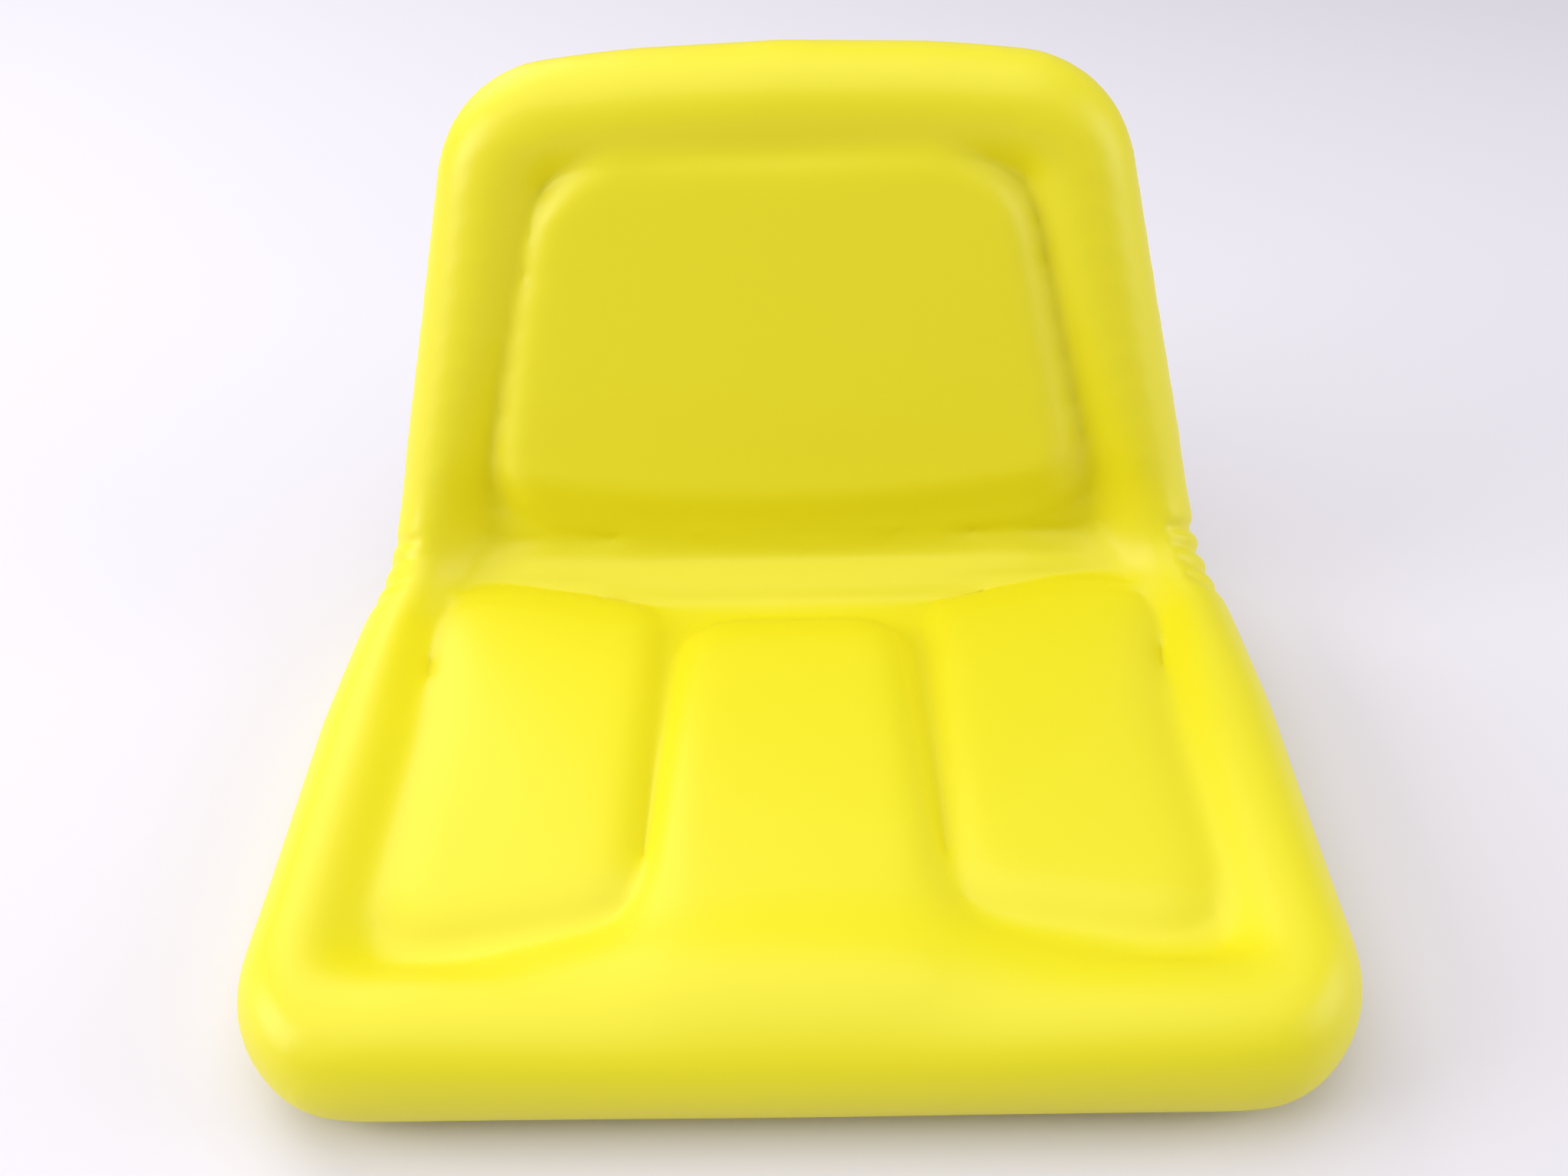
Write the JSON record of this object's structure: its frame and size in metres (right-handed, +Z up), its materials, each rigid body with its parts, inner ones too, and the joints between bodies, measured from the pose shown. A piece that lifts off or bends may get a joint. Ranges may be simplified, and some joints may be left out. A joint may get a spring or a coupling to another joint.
{
  "type": "garden tractor seat",
  "caption": "High-back garden tractor seat: a one-piece yellow vinyl cushion with a rolled edge, raised thigh and back pads and a front lip, on a black steel pan with weld nuts for bolts.",
  "frame": {"origin": "centre of the four bolt holes, on the underside of the mounting rails", "axes": "+Z up, -Y towards the front lip, so the sitter faces -Y, and X across the seat"},
  "size_m": [0.495, 0.4467, 0.3206],
  "materials": {
    "vinyl": "smooth satin vinyl skin over moulded foam",
    "pan_paint": "black paint on pressed steel",
    "nut_steel": "plain steel weld nuts"
  },
  "bodies": {
    "root": {"cushion": "vinyl", "seat_pan": "pan_paint", "weld_nuts": "nut_steel"}
  },
  "joints": []
}
